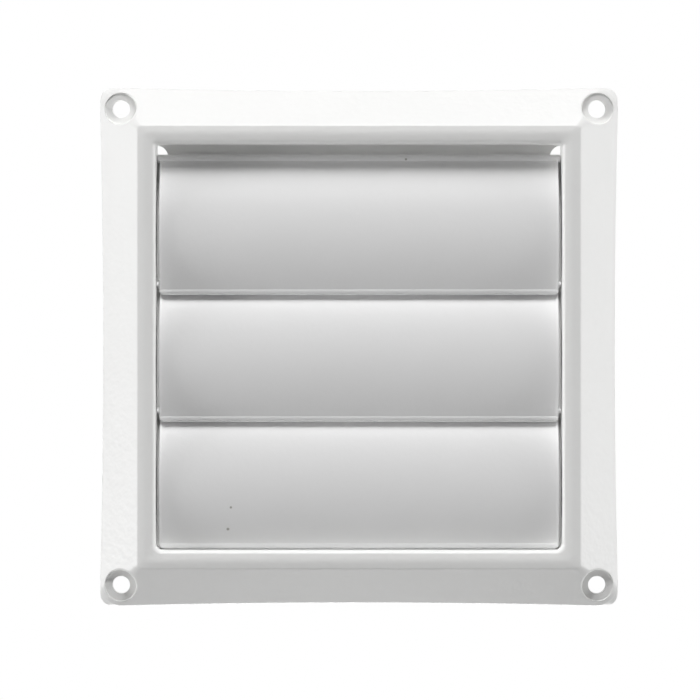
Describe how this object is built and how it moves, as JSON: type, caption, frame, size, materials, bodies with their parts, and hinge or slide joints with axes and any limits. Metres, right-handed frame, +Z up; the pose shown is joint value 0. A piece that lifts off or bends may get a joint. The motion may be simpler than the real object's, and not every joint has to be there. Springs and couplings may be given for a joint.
{
  "type": "louvred wall vent",
  "caption": "Square white plastic exterior wall vent with a sloped flange, corner screw holes, hinged gravity louvres and a round duct collar behind.",
  "frame": {"origin": "on the wall face, on the vent's middle line, 5.25 mm below the round duct collar", "axes": "+Y into the wall and along the duct, -Y out of the front, +Z up, +X to the right of someone facing the front"},
  "size_m": [0.1524, 0.0408, 0.1524],
  "materials": {
    "housing_plastic": "fine satin, as moulded",
    "louvre_plastic": "fine satin, as moulded"
  },
  "bodies": {
    "housing": {"housing": "housing_plastic"},
    "louvre_top": {"louvre_top": "louvre_plastic"},
    "louvre_middle": {"louvre_middle": "louvre_plastic"},
    "louvre_bottom": {"louvre_bottom": "louvre_plastic"}
  },
  "joints": [
    {"name": "louvre_top_hinge", "type": "hinge", "parent": "housing", "child": "louvre_top", "pos_m": [0, -0.0038, 0.11015], "axis": [-1, 0, 0], "range_deg": [0, 75]},
    {"name": "louvre_middle_hinge", "type": "hinge", "parent": "housing", "child": "louvre_middle", "pos_m": [0, -0.0038, 0.07295], "axis": [-1, 0, 0], "range_deg": [0, 75]},
    {"name": "louvre_bottom_hinge", "type": "hinge", "parent": "housing", "child": "louvre_bottom", "pos_m": [0, -0.0038, 0.03575], "axis": [-1, 0, 0], "range_deg": [0, 75]}
  ],
  "couplings": [
    {"joint": "louvre_middle_hinge", "follows": "louvre_top_hinge", "ratio": 1},
    {"joint": "louvre_bottom_hinge", "follows": "louvre_top_hinge", "ratio": 1}
  ]
}
